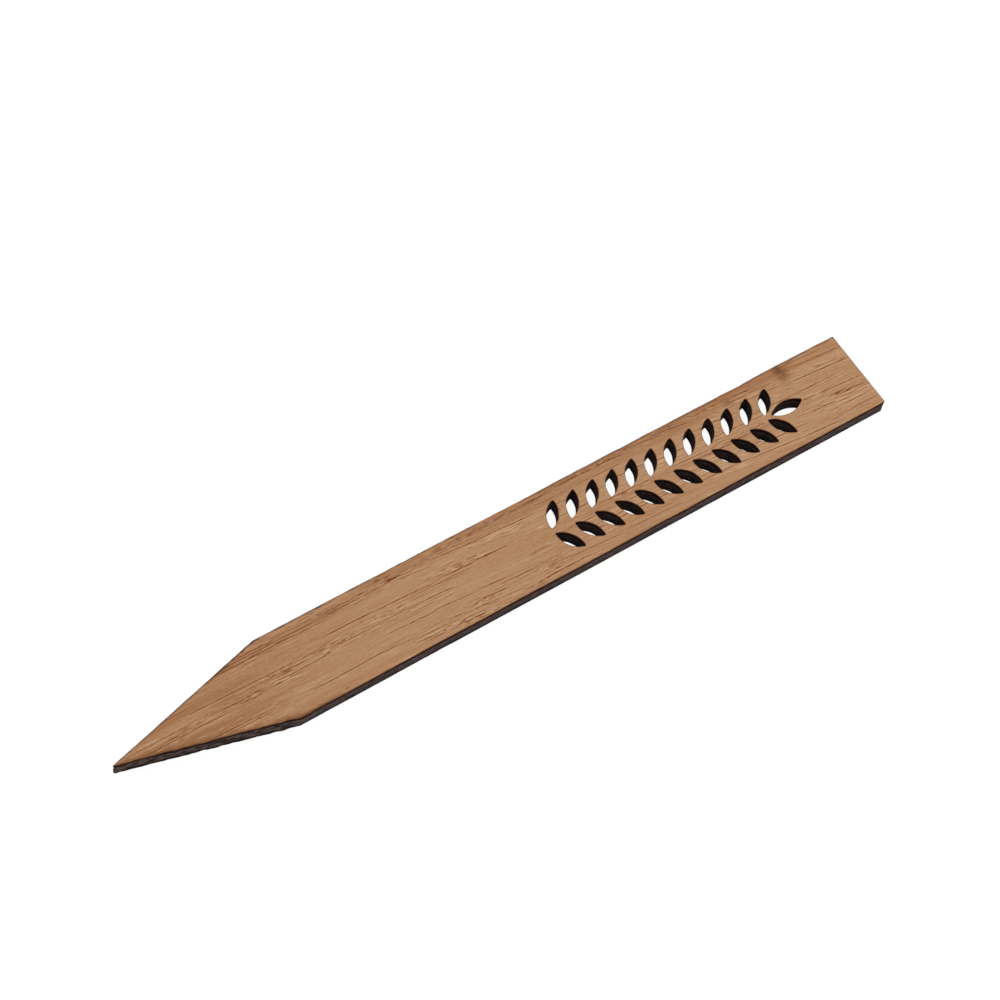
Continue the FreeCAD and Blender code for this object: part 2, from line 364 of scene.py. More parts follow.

# %% [markdown]
# ## The marks in the grain
#
# Two kinds of mark catch the eye on the face. Long dark lines are early wood, cut almost along its length,
# and they thin out at both ends. Patches of fine hatching are open pores in rows, dark dashes with pale
# ones between. Both are listed here. The lines are carved, while a patch only says where the
# finish draws its dashes later. A line is given by its two ends, a patch by its two ends and its width.

# %% Marks given one by one
# (along from the tip, across) of the first end, the same of the last end, in mm, and the strength
DARK_LINES = [
    (2, 0.1, 20, 0.0, 0.4), (5, -1.45, 18, -1.7, 0.6), (12, -0.95, 15, -1.0, 0.8),
    (10, -2.5, 12.5, -2.7, 0.8), (13, 3.4, 20, 3.4, 0.4), (19, 2.15, 37, 1.75, 0.9),
    (18, -1.5, 27, -1.7, 0.6), (25, -0.6, 36, -0.5, 0.5), (26, 0.5, 30, 0.1, 0.4),
    (30, -1.3, 36, -1.6, 0.6), (20, -5.2, 36, -5.7, 0.9), (24, -6.0, 37, -6.2, 0.5),
    (28, 7.1, 49, 7.0, 1.0), (49, 6.95, 56, 6.7, 0.5), (30, 7.9, 53, 7.7, 0.7), (33, 8.4, 43, 8.3, 0.8),
    (38, 1.65, 46, 1.5, 0.8), (47, 1.45, 54, 1.6, 0.7), (42, 0.6, 48, 0.5, 0.6), (41, 0.15, 44, 0.05, 0.6),
    (38, -1.2, 42, -1.35, 0.8), (42, -1.2, 46, -1.3, 0.4), (40, -0.6, 46, -0.85, 0.9),
    (45, -0.8, 51, -0.6, 0.7), (50.5, -0.7, 53, -0.35, 0.9), (54, 3.5, 66, 3.3, 0.9),
    (62, 3.35, 79, 2.7, 0.8), (55, 0.1, 72, 0.1, 0.6), (70, 0.1, 82, -0.4, 0.5), (66, -3.05, 78, -3.6, 0.7),
    (78, -3.25, 88, -4.0, 0.9), (46, -6.4, 57, -6.3, 0.8), (56, -6.25, 63, -6.2, 0.8),
    (61, -6.2, 71, -6.75, 0.7), (71, -7.25, 79, -7.6, 0.6), (70, -8.15, 76, -8.5, 0.6),
    (72, -8.8, 78, -9.1, 0.5), (56, 7.6, 66, 7.7, 0.6), (60, 8.4, 63.8, 8.1, 0.9), (65, 8.3, 66, 8.3, 0.9),
    (66, 7.6, 76, 7.9, 0.6), (71, 8.3, 74, 8.1, 0.8), (72, 7.8, 76, 8.1, 0.7), (77, 8.4, 78.4, 8.5, 0.9),
    (75, 7.2, 82, 6.5, 0.5), (79, 8.5, 84, 8.2, 0.6), (86, 7.5, 95, 6.8, 0.8), (93, 6.9, 104, 6.4, 0.9),
    (102, 6.4, 110.5, 6.1, 0.8), (78, 2.0, 90, 1.7, 0.6), (83, 2.9, 93, 2.4, 0.7), (92, 2.7, 101, 2.2, 1.0),
    (78, -0.1, 85, -0.6, 0.8), (90, -3.95, 96, -4.4, 0.8), (95, -5.3, 106, -5.8, 0.9),
    (103, -2.4, 110.5, -2.6, 0.6), (88, -6.1, 96, -6.8, 0.7), (80, -6.8, 84.5, -7.3, 0.8),
    (85, -7.5, 91, -8.0, 0.9), (90, -7.9, 99, -8.7, 0.8), (82, -8.4, 87, -8.8, 0.6),
    (107, -8.2, 109, -8.3, 1.0), (98, -9.3, 106, -9.1, 0.6), (105, -9.0, 116, -9.2, 0.8),
    (183, 5.1, 192, 4.5, 0.7), (190, 4.6, 200, 3.9, 1.0), (183, 1.95, 196, 1.6, 0.8),
    (183, -0.4, 190, -1.0, 0.7), (189, -0.9, 200, -1.6, 0.9), (190, -2.7, 195, -2.9, 0.6),
    (191, -3.3, 200, -3.7, 0.7), (183, -4.0, 190, -4.4, 0.9), (188, -6.1, 200, -6.3, 0.8),
    (192, -7.9, 200, -8.2, 0.8), (187, 8.2, 200, 7.4, 0.7), (190, 7.6, 200, 7.0, 0.3),
    (180, 9.9, 196, 9.1, 0.5), (160, -6.9, 181, -8.9, 0.9), (178, -8.7, 189, -9.4, 0.8),
    (160, 9.2, 166, 8.9, 0.7), (169, 8.8, 174, 8.4, 0.9), (166, 7.8, 172, 7.5, 0.6),
    (110, 9.3, 117, 8.9, 0.8), (118, 9.5, 130, 9.0, 0.6), (123, 7.4, 136, 7.0, 0.5),
    (130, 9.2, 139, 8.7, 0.7), (137, 9.9, 148, 8.5, 0.7), (146, 9.6, 156, 8.1, 0.7),
    (112, -7.4, 126, -8.3, 0.5), (128, -8.0, 142, -8.6, 0.6), (112, 5.8, 121, 5.3, 0.6),
    (115, 2.4, 126, 1.9, 0.7), (118, -4.4, 131, -4.7, 0.9), (131, -4.6, 142, -5.0, 0.9),
    (142, -4.9, 152, -5.4, 0.5), (112, -1.0, 124, -1.5, 0.6), (124, -3.5, 138, -4.0, 0.7),
    (140, 3.6, 152, 3.0, 0.7), (126, 0.6, 141, 0.1, 0.6), (143, 0.4, 158, -0.4, 0.7),
    (149, -0.9, 166, -1.7, 0.7), (154, 5.6, 168, 4.8, 0.6), (160, -1.0, 176, -2.1, 0.8),
    (168, 2.6, 182, 1.9, 0.7), (165, -5.2, 182, -6.0, 0.6), (148, -6.2, 163, -6.8, 0.6),
    (158, 1.9, 172, 1.0, 0.7), (166, 6.6, 181, 5.6, 0.6), (130, 4.6, 141, 4.2, 0.6),
    (113, 7.6, 124, 7.2, 0.5),
]
# the same places, then the width of the patch in mm and the strength
HATCHED_PATCHES = [
    (11, -0.3, 26, -0.4, 0.8, 0.7), (25, -1.0, 37, -0.9, 1.2, 0.8), (35, 1.3, 46, 0.5, 1.6, 0.8),
    (37, -0.4, 43, -0.9, 1.2, 0.8), (48, 0.9, 61, 0.5, 1.2, 0.8), (65, 1.4, 74, 0.9, 1.4, 1),
    (22, -4.2, 32, -4.4, 0.9, 0.4), (73, -8.3, 94, -10.0, 1.8, 0.9), (82, 4.1, 95, 3.4, 1.2, 0.9),
    (84, 3.2, 101, 2.3, 1.0, 0.9), (85, -6.4, 96, -7.2, 1.0, 0.9), (101, -6.6, 110, -7.2, 0.9, 0.9),
    (183, -0.5, 191, -1.0, 1.2, 0.9), (190, -2.8, 200, -3.4, 0.9, 0.8), (187, 5.8, 196, 5.2, 0.9, 0.7),
    (40, 8.4, 44, 8.3, 0.9, 0.9), (50, 8.9, 56, 8.6, 0.8, 0.8), (70, 9.2, 75, 8.6, 1.1, 1),
    (78, 8.7, 90, 8.1, 0.9, 0.8), (84, 9.4, 96, 8.8, 1.0, 0.8), (96, 9.5, 112, 8.8, 1.0, 0.8),
    (98, -9.2, 116, -9.5, 0.9, 0.8), (122, 9.7, 136, 9.0, 0.9, 0.8), (150, 9.4, 165, 8.7, 0.9, 0.8),
    (112, 4.4, 124, 3.7, 0.9, 0.7), (126, 0.4, 140, -0.5, 0.9, 0.7), (150, 3.9, 163, 3.1, 0.9, 0.7),
    (164, -0.4, 178, -1.4, 0.9, 0.8),
]
# (along from the tip, across, length, half width) of dark spots and knots, in mm
SPOTS = [
    (15.2, -2.1, 1.2, 0.22), (52.6, -0.4, 1.2, 0.18), (58.4, 7.4, 1.6, 0.18), (61.4, -0.5, 0.6, 0.12),
    (62.5, 2.25, 0.7, 0.16), (64, 6.6, 0.8, 0.12), (70.9, 9.3, 1.0, 0.22), (73.2, 7.95, 1.4, 0.2),
    (51.7, -9.65, 0.8, 0.14), (95, 8.7, 0.7, 0.2), (87.2, 8.7, 0.7, 0.12), (94.2, -6.0, 0.6, 0.1),
    (106.4, -7.0, 0.9, 0.12), (192.4, 5.5, 1.6, 0.14), (191.4, -2.8, 0.7, 0.12), (114.2, -9.0, 0.6, 0.12),
]

# (along from the tip, across, length, width) of the calm fields between the marks, in mm
CALM_FIELDS = [
    (75, -3.6, 42, 2.2), (99, 0.3, 13, 1.8), (60, 5.3, 26, 1.4), (60, -8.6, 16, 1.4), (128, -9.0, 24, 1.3),
    (30, 4.4, 14, 1.8), (14, 1.6, 9, 1.0), (30, -3.2, 12, 1.2), (192, 3.0, 9, 0.9), (190, -10, 12, 1.0),
]

# %% [markdown]
# Each line and each spot becomes a few marks: a middle, a length, a half width, a slope and a strength. A
# negative strength is a pale mark, and every dark line has a slim one along both its sides, where the
# blade has torn the fibres up.

# %% Lines and spots as marks
MARK = np.dtype([(name, float) for name in ("x", "y", "length", "width", "slope", "strength")])
ROW_PITCH = 0.44
LINE_WIDTH, SPOT_STRENGTH = 0.135, 0.9
PALE_SIDE_PLACE, PALE_SIDE_WIDTH, PALE_SIDE_SHARE = 0.30, 0.12, 0.22


def as_marks(start_x, start_y, end_x, end_y, width, strength):
    """An array of marks from the two ends of each, in mm along from the tip and across."""
    start_x, start_y, end_x, end_y = np.array([start_x, start_y, end_x, end_y], float)
    marks = np.zeros(len(start_x), MARK)
    marks["x"], marks["y"] = (start_x + end_x) / 2 - END, (start_y + end_y) / 2
    marks["length"], marks["slope"] = end_x - start_x, (end_y - start_y) / (end_x - start_x)
    marks["width"], marks["strength"] = width, strength
    return marks


def with_pale_sides(marks):
    """The marks, and a slim pale one along both sides of each."""
    sides = []
    for way in (-1, 1):
        side = marks.copy()
        side["y"] += way * PALE_SIDE_PLACE
        side["width"] = PALE_SIDE_WIDTH
        side["strength"] *= -PALE_SIDE_SHARE
        sides.append(side)
    return np.concatenate([marks] + sides)


# where the three marks of a line start and end, as shares of its length
LINE_PARTS = [(-0.05, 0.62), (0.45, 1.05), (0.0, 1.0)]


def dark_lines(random, lines):
    """Each line as three marks that overlap, so that it swells and thins."""
    rows = []
    for x, y, last_x, last_y, strength in lines:
        slope = (last_y - y) / (last_x - x)
        for part in LINE_PARTS:
            start, end = x + (last_x - x) * (np.array(part) + random.uniform(-0.06, 0.06, 2))
            off = random.normal(0, 0.015)
            width = LINE_WIDTH * random.uniform(0.8, 1.2)
            ends = (start, y + slope * (start - x) + off, end, y + slope * (end - x) + off)
            rows.append((*ends, width, strength * random.uniform(0.65, 0.95)))
    return with_pale_sides(as_marks(*zip(*rows)))


# %% [markdown]
# Hatching and calm fields work the other way round: each is asked how much of it there is at a place. Both
# are full inside their outline and fade softly over its edge.

# %% Hatched patches and calm fields
# the share of its strength that a loose mark loses in a calm field
CALMED = 0.85


def hatching(patches, points):
    """How strongly each point is hatched, from 0 to 1: full inside a patch, fading towards its rim."""
    plain = np.ones(len(points))
    for x, y, last_x, last_y, width, strength in patches:
        along = points[:, 0] + END - (x + last_x) / 2
        across = points[:, 1] - (y + last_y) / 2 - along * (last_y - y) / (last_x - x)
        distance = np.hypot(2 * along / (last_x - x), 2 * across / width)
        plain *= 1 - strength * np.exp(-(distance**4))
    return 1 - plain


def share_left(x, y):
    """The share of its strength that a loose mark keeps at each place, which is little in a calm field."""
    share = np.ones(len(x))
    for field_x, field_y, length, width in CALM_FIELDS:
        distance = np.hypot((x - field_x) / length, (y - field_y) / width)
        share *= 1 - CALMED * np.exp(-(distance**4))
    return share


# %% [markdown]
# Between the marks that were placed lie many that nobody would place one by one. They are drawn at random
# in loose crowds, because pores come in crowds too, and each keeps to a row along the fibres.

# %% Loose grain
# the spread of a crowd along and across, how far a dash strays from its row, and its least and most
# length and half width, in mm
CROWD_LENGTH, CROWD_WIDTH, STRAY = 6, 0.6, 0.025
DASH_LENGTHS, DASH_WIDTHS = (0.8, 5.0), (0.06, 0.11)
# (crowds, dashes, least and most strength)
DARK_DASHES, PALE_DASHES = (120, 1500, 0.1, 0.8), (80, 700, -0.8, -0.3)


def scattered_dashes(random, crowds, dashes, weakest, strongest):
    """Short thin marks in loose crowds all over the wood, each in a row of its crowd along the fibres."""
    crowd_x, crowd_y = random.uniform(0, STAKE_LENGTH, crowds), random.uniform(-SIDE, SIDE, crowds)
    own = random.integers(0, crowds, dashes)
    x = crowd_x[own] + random.normal(0, CROWD_LENGTH, dashes)
    row = ROW_PITCH * np.round(random.normal(0, CROWD_WIDTH, dashes) / ROW_PITCH)
    row = row + random.normal(0, STRAY, dashes)
    y = crowd_y[own] + row - fibre_drop(x - END) + fibre_drop(crowd_x[own] - END)
    length = random.uniform(*DASH_LENGTHS, dashes)
    last_y = y - fibre_drop(x + length - END) + fibre_drop(x - END)
    width, strength = random.uniform(*DASH_WIDTHS, dashes), random.uniform(weakest, strongest, dashes)
    strength *= share_left(x + length / 2, (y + last_y) / 2)
    return as_marks(x, y, x + length, last_y, width, strength)


def loose_grain(random):
    """The dark and the pale dashes that nobody has placed."""
    dark, pale = scattered_dashes(random, *DARK_DASHES), scattered_dashes(random, *PALE_DASHES)
    return np.concatenate([with_pale_sides(dark), pale])


def spots(places):
    """Short thick marks."""
    x, y, length, width = np.array(places).T
    return as_marks(x - length / 2, y, x + length / 2, y, width, SPOT_STRENGTH)


front_random = np.random.default_rng(7)
front_marks = np.concatenate(
    [dark_lines(front_random, DARK_LINES), spots(SPOTS), loose_grain(front_random)]
)
print(f"{len(front_marks)} marks on the front")

# %% [markdown]
# The back has the same kinds of mark, but nobody has placed them: a fixed seed draws their ends. Their
# slopes follow the fibres.

# %% Marks on the back
BACK_LINES, BACK_PATCHES = 70, 26
LINE_LENGTHS, PATCH_LENGTHS = (8, 30), (7, 18)
back_random = np.random.default_rng(21)


def drawn_ends(random, count, shortest, longest):
    """(x, y, last_x, last_y) of random stretches that follow the fibres."""
    length, x = random.uniform(shortest, longest, count), random.uniform(-4, STAKE_LENGTH, count)
    y = random.uniform(-SIDE, SIDE, count)
    drop = fibre_drop(x + length - END) - fibre_drop(x - END)
    return np.column_stack([x, y, x + length, y - drop])


ends = drawn_ends(back_random, BACK_LINES, *LINE_LENGTHS)
back_lines = np.column_stack([ends, back_random.uniform(0.4, 0.9, BACK_LINES)])
back_marks = np.concatenate([dark_lines(back_random, back_lines), loose_grain(back_random)])
back_patches = [(*place, 1.0, 0.8) for place in drawn_ends(back_random, BACK_PATCHES, *PATCH_LENGTHS)]
print(f"{len(back_marks)} marks on the back")

# %% [markdown]
# A mark fades along its length and to both sides. What it does at a point is added up over all marks, dark
# and pale apart. Only the points near a mark are worked out, which the sorted order of their places
# allows.

# %% What the marks do at each point
def mark_strengths(marks, points):
    """(dark, pale) at each point, from 0 to 1."""
    order = np.argsort(points[:, 0])
    xs, ys = points[order].T
    dark, pale = np.zeros(len(xs)), np.zeros(len(xs))
    for mark in marks:
        first, last = np.searchsorted(xs, (mark["x"] - mark["length"] / 2, mark["x"] + mark["length"] / 2))
        along = xs[first:last] - mark["x"]
        across = ys[first:last] - mark["y"] - mark["slope"] * along
        taper = np.maximum(0, 1 - (2 * along / mark["length"]) ** 2)
        spread = mark["width"] * (0.7 + 0.3 * taper)
        effect = abs(mark["strength"]) * np.sqrt(taper) * np.exp(-((across / spread) ** 2))
        into = dark if mark["strength"] > 0 else pale
        into[first:last] = 1 - (1 - into[first:last]) * (1 - effect)
    back_in_order = np.empty_like(order)
    back_in_order[order] = np.arange(len(order))
    return dark[back_in_order], pale[back_in_order]


# %% [markdown]
# ## One layer as a closed mesh
#
# A layer is a stack of rings with a cap at each end. The rings of one height hold the outline and all the
# leaf openings together. The outer cap of a veneer is carved with the grain. It gets extra points for
# that, which lie closer together across the fibres than along them, as the marks do. They also need to
# know how deep in the wood they lie: points in the air are dropped, and the heat of the cut shows by
# depth.

# %% Points for a carved cap
LEAST_DEPTH = 0.06
cut_air = np.concatenate([path[1] for path in cut_lines])


def depth_into_wood(points, ring):
    """Distance of each point from the nearest cut, in mm, below zero where there is air."""
    tree = KDTree(len(ring))
    for index, (x, y) in enumerate(ring):
        tree.insert((x, y, 0), index)
    tree.balance()
    found = [tree.find((x, y, 0)) for x, y in points]
    nearest = np.array([index for _, index, _ in found])
    away = np.einsum("ij,ij->i", ring[nearest] - points, cut_air[nearest])
    return np.array([distance for _, _, distance in found]) * np.sign(away)


def along_fibres(points, way=1):
    """The same points with the fall of the fibres taken out, or put back where way is -1."""
    return points + way * np.column_stack([0 * points[:, 0], fibre_drop(points[:, 0])])


def grain_points(ring, step_along, step_across):
    """A field of points inside the wood, in rows that follow the fibres, and the depth of each."""
    lowest, highest = along_fibres(ring)[:, 1].min(), along_fibres(ring)[:, 1].max()
    xs, ys = np.arange(-END, END, step_along), np.arange(lowest, highest, step_across)
    x, y = np.meshgrid(xs, ys)
    x = x + (np.arange(len(ys))[:, None] % 2) * step_along / 2
    field = along_fibres(np.column_stack([x.ravel(), y.ravel()]), -1)
    depth = depth_into_wood(field, ring)
    return field[depth > LEAST_DEPTH], depth[depth > LEAST_DEPTH]


# %% [markdown]
# A cap is filled by a constrained triangulation. It keeps every cut line as an edge, and it also says
# which loops each triangle lies in: the wood is in the outline's loop alone. A fan or a grid fill can't go
# round twenty-five openings, and cutting the openings with booleans would spoil the exact directions of
# the walls. The filling is worked out on a copy that is squeezed along the fibres, because it likes even
# triangles. Back on the stake they are long along the grain and slim across it, as the marks are, and a
# mark stays crisp.

# %% Fill a cap
NO_POINTS = np.empty((0, 2))
SQUEEZE = 8.0
INSIDE_LOOPS, SAME_POINT = 1, 1e-7
ring_starts = np.cumsum([0] + [len(path[0]) for path in cut_lines])


def cap_faces(ring, inner):
    """Upward triangles over the ring's points, numbered first, and the inner points."""
    points = np.concatenate([ring, inner])
    loops = [list(range(start, end)) for start, end in zip(ring_starts[:-1], ring_starts[1:])]
    loops = loops[:1] + [loop[::-1] for loop in loops[1:]]
    squeezed = [Vector(point) for point in along_fibres(points) / (SQUEEZE, 1)]
    result = delaunay_2d_cdt(squeezed, [], loops, INSIDE_LOOPS, SAME_POINT)
    corners, _, triangles, came_from, _, lies_in = result
    if len(corners) != len(points):
        raise RuntimeError("two cut lines touch")
    own = [origin[0] for origin in came_from]
    in_wood = [triangle for triangle, loop in zip(triangles, lies_in) if loop == [0]]
    return [[own[corner] for corner in triangle] for triangle in in_wood]


# %% [markdown]
# The rings are listed from the outer face inwards, so the back veneer's go up and the other layers' go
# down. The walls and caps of the back veneer are turned over for that. A ring's points are numbered alike
# at every height, so that a wall is four-sided faces between one ring and the next.

# %% Stack the rings
def stack(levels, inner=NO_POINTS):
    """(corners, faces, wall): a closed mesh in mm. wall is 1 for each face that the beam burnt."""
    rings = [np.concatenate(cut_ring(height, rim)) for height, rim in levels]
    count = len(rings[0])
    downward = levels[0][0] > levels[-1][0]
    this = np.arange(count)
    following = this + 1
    following[ring_starts[1:] - 1] = ring_starts[:-1]
    wall_faces = np.column_stack([this, this + count, following + count, following])
    walls = np.concatenate([wall_faces + level * count for level in range(len(levels) - 1)])
    faces = (walls if downward else walls[:, ::-1]).tolist()
    wall = [1] * len(faces)
    extra = (len(levels) - 1) * count
    for face in cap_faces(rings[0], inner):
        face = [corner if corner < count else corner + extra for corner in face]
        faces.append(face if downward else face[::-1])
    for face in cap_faces(rings[-1], NO_POINTS):
        face = [corner + extra for corner in face]
        faces.append(face[::-1] if downward else face)
    wall += [0] * (len(faces) - len(wall))
    corners = [np.column_stack([ring, np.full(count, height)]) for ring, (height, _) in zip(rings, levels)]
    corners.append(np.column_stack([inner, np.full(len(inner), levels[0][0])]))
    return np.concatenate(corners), faces, wall


# %% [markdown]
# ## What the finish needs to know
#
# The colours will come from nodes, and the nodes need facts about each point that only this script has:
# how deep in the wood it is, how strong the grain is there, and whether it is on the wall of an opening.
# They are stored on the mesh as named attributes. An image could hold them too, but it would have to be
# unwrapped and would blur at the cuts.

# %% Make the piece
SHARP_ANGLE = math.radians(35)


def paint(mesh, name, values, domain="POINT"):
    """Store one number or vector for each point or face under a name."""
    kind, field = ("FLOAT_VECTOR", "vector") if values.ndim == 2 else ("FLOAT", "value")
    mesh.attributes.new(name, kind, domain).data.foreach_set(field, values.astype(float).ravel())


def make_piece(name, corners, faces, facts, wall, finish):
    """An object in metres from a mesh in mm, with its facts and its finish."""
    mesh = bpy.data.meshes.new(name)
    mesh.from_pydata(corners * MM, [], faces)
    for fact, values in facts.items():
        paint(mesh, fact, values)
    paint(mesh, "wall", np.array(wall), "FACE")
    mesh.shade_smooth()
    mesh.set_sharp_from_angle(angle=SHARP_ANGLE)
    mesh.materials.append(finish)
    piece = bpy.data.objects.new(name, mesh)
    bpy.context.scene.collection.objects.link(piece)
    open_edges = 2 * len(mesh.edges) - sum(len(face) for face in faces)
    print(f"{name}: {len(faces)} faces, {open_edges} open edges")
    return piece


# %% [markdown]
# The heat of the cut browns the face beside it, but not by the same width everywhere. It goes in by a
# fifth of a millimetre along the near side, at the square end and round the leaves, and by more than a
# millimetre on the near side of the point. A slim rim is charred through, more on the far side than on the
# near one. The far side changes along its length, so it has a little table. Smoke has settled in a few
# places, and these are listed too.

# %% Heat and smoke on the face
REACH_ON_POINT, REACH_NEAR_SIDE, REACH_SQUARE_END, REACH_AT_LEAF = 1.3, 0.22, 0.2, 0.22
CHAR_NEAR_SIDE, CHAR_AT_LEAF = 0.04, 0.09
SPRIG_SIDE, SPRIG_START = SIDE - SPRIG_EDGE_MARGIN / 2, first_leaf_base - SPRIG_EDGE_MARGIN
SQUARE_END = END - 1.2
# (along from the tip, browned reach, charred reach) on the far side, in mm
FAR_RIM = [
    (10, 0.45, 0.20), (38, 0.60, 0.52), (66, 0.58, 0.48), (75, 0.45, 0.18), (108, 0.45, 0.18),
    (118, 0.85, 0.20), (200, 0.85, 0.26),
]
# (along from the tip, across, length, width, strength) of smoke, in mm
SMOKE = [
    (182.8, 8.6, 1.3, 2.4, 0.70), (184.3, 8.2, 1.2, 1.6, 0.2), (166.9, 8.0, 1.5, 1.5, 0.25),
    (42.4, -10.4, 4.0, 0.3, 0.45), (31.4, 7.6, 2.6, 0.6, 0.25), (57.9, 8.2, 2.8, 0.7, 0.25),
    (71.4, 9.2, 1.6, 0.4, 0.35), (73.9, 8.0, 2.6, 0.35, 0.5), (86.7, 9.3, 1.2, 0.35, 0.35),
    (92.1, 9.2, 1.1, 0.6, 0.3), (98.4, 8.9, 3.5, 0.3, 0.25), (107.4, 9.0, 7.0, 0.25, 0.3),
    (112.4, 8.9, 1.8, 0.3, 0.35), (120.4, 9.3, 6.0, 0.3, 0.3), (135.4, 9.3, 7.0, 0.35, 0.3),
    (146.4, 9.2, 4.0, 0.4, 0.25), (152.4, 8.6, 4.0, 1.1, 0.2),
]


def heat_reach(points):
    """How far the heat of the cut has gone into the wood near each point, in mm."""
    x, y = points[:, 0], points[:, 1]
    near = np.interp(x, [SHOULDER - 2, SHOULDER + 14], [REACH_ON_POINT, REACH_NEAR_SIDE])
    places, browned, _ = np.transpose(FAR_RIM)
    reach = np.where(y < 0, near, np.interp(x + END, places, browned))
    reach = np.where((abs(y) < SPRIG_SIDE) & (x > SPRIG_START), REACH_AT_LEAF, reach)
    return np.where(x > SQUARE_END, REACH_SQUARE_END, reach)


def char_reach(points):
    """How far the face is charred through at the rim near each point, in mm."""
    x, y = points[:, 0], points[:, 1]
    places, _, charred = np.transpose(FAR_RIM)
    reach = np.where(y < 0, CHAR_NEAR_SIDE, np.interp(x + END, places, charred))
    return np.where((abs(y) < SPRIG_SIDE) & (x > first_leaf_base - 1), CHAR_AT_LEAF, reach)


def smoke(points):
    """The share of smoke colour at each point."""
    clear = np.ones(len(points))
    for x, y, length, width, strength in SMOKE:
        distance = np.hypot((points[:, 0] + END - x) / length, (points[:, 1] - y) / width)
        clear *= 1 - strength * np.exp(-(distance**2))
    return 1 - clear


# %% [markdown]
# All of this comes together in one function that builds any layer. The points of a carved face sink by the
# strength of the dark marks over them, and every fact is worked out for all the points at once.

# %% Build a layer with its grain
CARVED_DEPTH = 0.03


def build_layer(name, levels, finish, marks=None, patches=(), steps=None):
    """One layer. With marks, its first level is a face that shows, carved by them."""
    outer_ring = np.concatenate(cut_ring(*levels[0]))
    inner, depth = grain_points(outer_ring, *steps) if steps else (NO_POINTS, np.empty(0))
    corners, faces, wall = stack(levels, inner)
    cut_depth, dark, pale = np.zeros((3, len(corners)))
    opening = np.zeros(len(corners))
    if steps:
        carved = np.r_[0 : len(outer_ring), len(corners) - len(inner) : len(corners)]
        dark[carved], pale[carved] = mark_strengths(marks, corners[carved, :2])
        into_layer = np.sign(levels[-1][0] - levels[0][0])
        cut_depth[-len(inner):] = depth
        corners[-len(inner):, 2] += into_layer * CARVED_DEPTH * dark[-len(inner):]
    for level in range(len(levels)):
        start = level * len(outer_ring)
        opening[start + ring_starts[1] : start + len(outer_ring)] = 1
    facts = {"cut_depth": cut_depth, "dark": dark, "pale": pale, "opening": opening, "place": corners}
    facts["fibre"] = corners + np.outer(fibre_drop(corners[:, 0]), (0, 1, 0))
    facts["heat_reach"], facts["char_reach"] = heat_reach(corners), char_reach(corners)
    facts["smoke"], facts["hatching"] = smoke(corners), hatching(patches, corners)
    return make_piece(name, corners, faces, facts, wall, finish)


# %% [markdown]
# ## A helper for finishes
#
# A finish is a tree of nodes. Adding each node by hand takes four lines, and the tree gets lost in them.
# So a small class adds a node, connects its inputs and hands back its output, and a finish can then be
# read like a sum. A constant is set on the socket itself, never through a node of its own.

# %% The finish helper
class Finish:
    """A material with a Principled shader, built from nodes."""

    def __init__(self, name):
        self.material = bpy.data.materials.new(name)
        self.material.use_nodes = True
        self.tree = self.material.node_tree
        self.shader = self.tree.nodes["Principled BSDF"]

    def add(self, kind, inputs, output=0, **settings):
        """A node of that kind. An input is a number, a colour or another node's output."""
        node = self.tree.nodes.new(kind)
        for name, value in settings.items():
            setattr(node, name, value)
        for socket, value in inputs.items():
            self.put(node.inputs[socket], value)
        return node.outputs[output]

    def put(self, socket, value):
        """Connect an output to the socket, or set a constant on it."""
        if isinstance(value, bpy.types.NodeSocket):
            self.tree.links.new(value, socket)
        elif socket.type == "VECTOR":
            socket.default_value = value[:3]
        else:
            socket.default_value = value

    def fact(self, name, output="Fac"):
        return self.add("ShaderNodeAttribute", {}, output, attribute_name=name)

    def sum(self, operation, first, second=0.0, third=0.0):
        return self.add("ShaderNodeMath", {0: first, 1: second, 2: third}, operation=operation)

    def fade(self, value, start, finish, low=0.0, high=1.0):
        """low where value is at start, high where it is at finish, and smooth between."""
        inputs = {0: value, 1: start, 2: finish, 3: low, 4: high}
        return self.add("ShaderNodeMapRange", inputs, interpolation_type="SMOOTHSTEP")

    def mix(self, share, first, second):
        inputs = {0: share, 6: first, 7: second}
        return self.add("ShaderNodeMix", inputs, 2, data_type="RGBA")

    def weigh(self, share, first, second):
        return self.add("ShaderNodeMix", {0: share, 2: first, 3: second}, data_type="FLOAT")

    def brighten(self, colour, factor):
        return self.add("ShaderNodeVectorMath", {0: colour, "Scale": factor}, operation="SCALE")

    def noise(self, place, size, detail=2.0, shift=0.0):
        """Random values about 0.5, with patches of that size in mm along X, Y and Z."""
        stretch = {0: place, 1: [1 / length for length in size], 2: (shift, shift, shift)}
        place = self.add("ShaderNodeVectorMath", stretch, operation="MULTIPLY_ADD")
        return self.add("ShaderNodeTexNoise", {"Vector": place, "Scale": 1.0, "Detail": detail}, "Fac")


def shade(red, green, blue):
    """A colour as a paint program shows it, 0 to 255, turned into light for the shader."""
    return [(value / 255) ** 2.2 for value in (red, green, blue)] + [1.0]


# %% [markdown]
# ## Char
#
# The beam leaves all the walls charred, but the three layers char differently: the veneers are nearly
# black with a brown cast, and the fibre core is a dull grey with a lighter band below the glue line. The
# walls of the narrow openings are painted darker still, as painted shade in those deep slots. The colour
# follows the height, with soft blotches over it, and a few specks in the core where a fibre is only
# scorched. All of this is rougher on the point, where the beam ran across the fibres, than on the long
# sides.

# %% Char colours
CHARRED_VENEER = shade(36, 14, 2)
CHARRED_CORE_TOP = shade(80, 68, 66)
CHARRED_CORE_BOTTOM = shade(72, 60, 58)
CHARRED_BACK = shade(26, 15, 12)
BROWNED_VENEER = shade(126, 80, 48)
SCORCHED_SPECK = shade(122, 84, 62)
# the share by which the walls of the openings are darkened: painted shade for those narrow slots
OPENING_SHADE_SHARE = 0.3
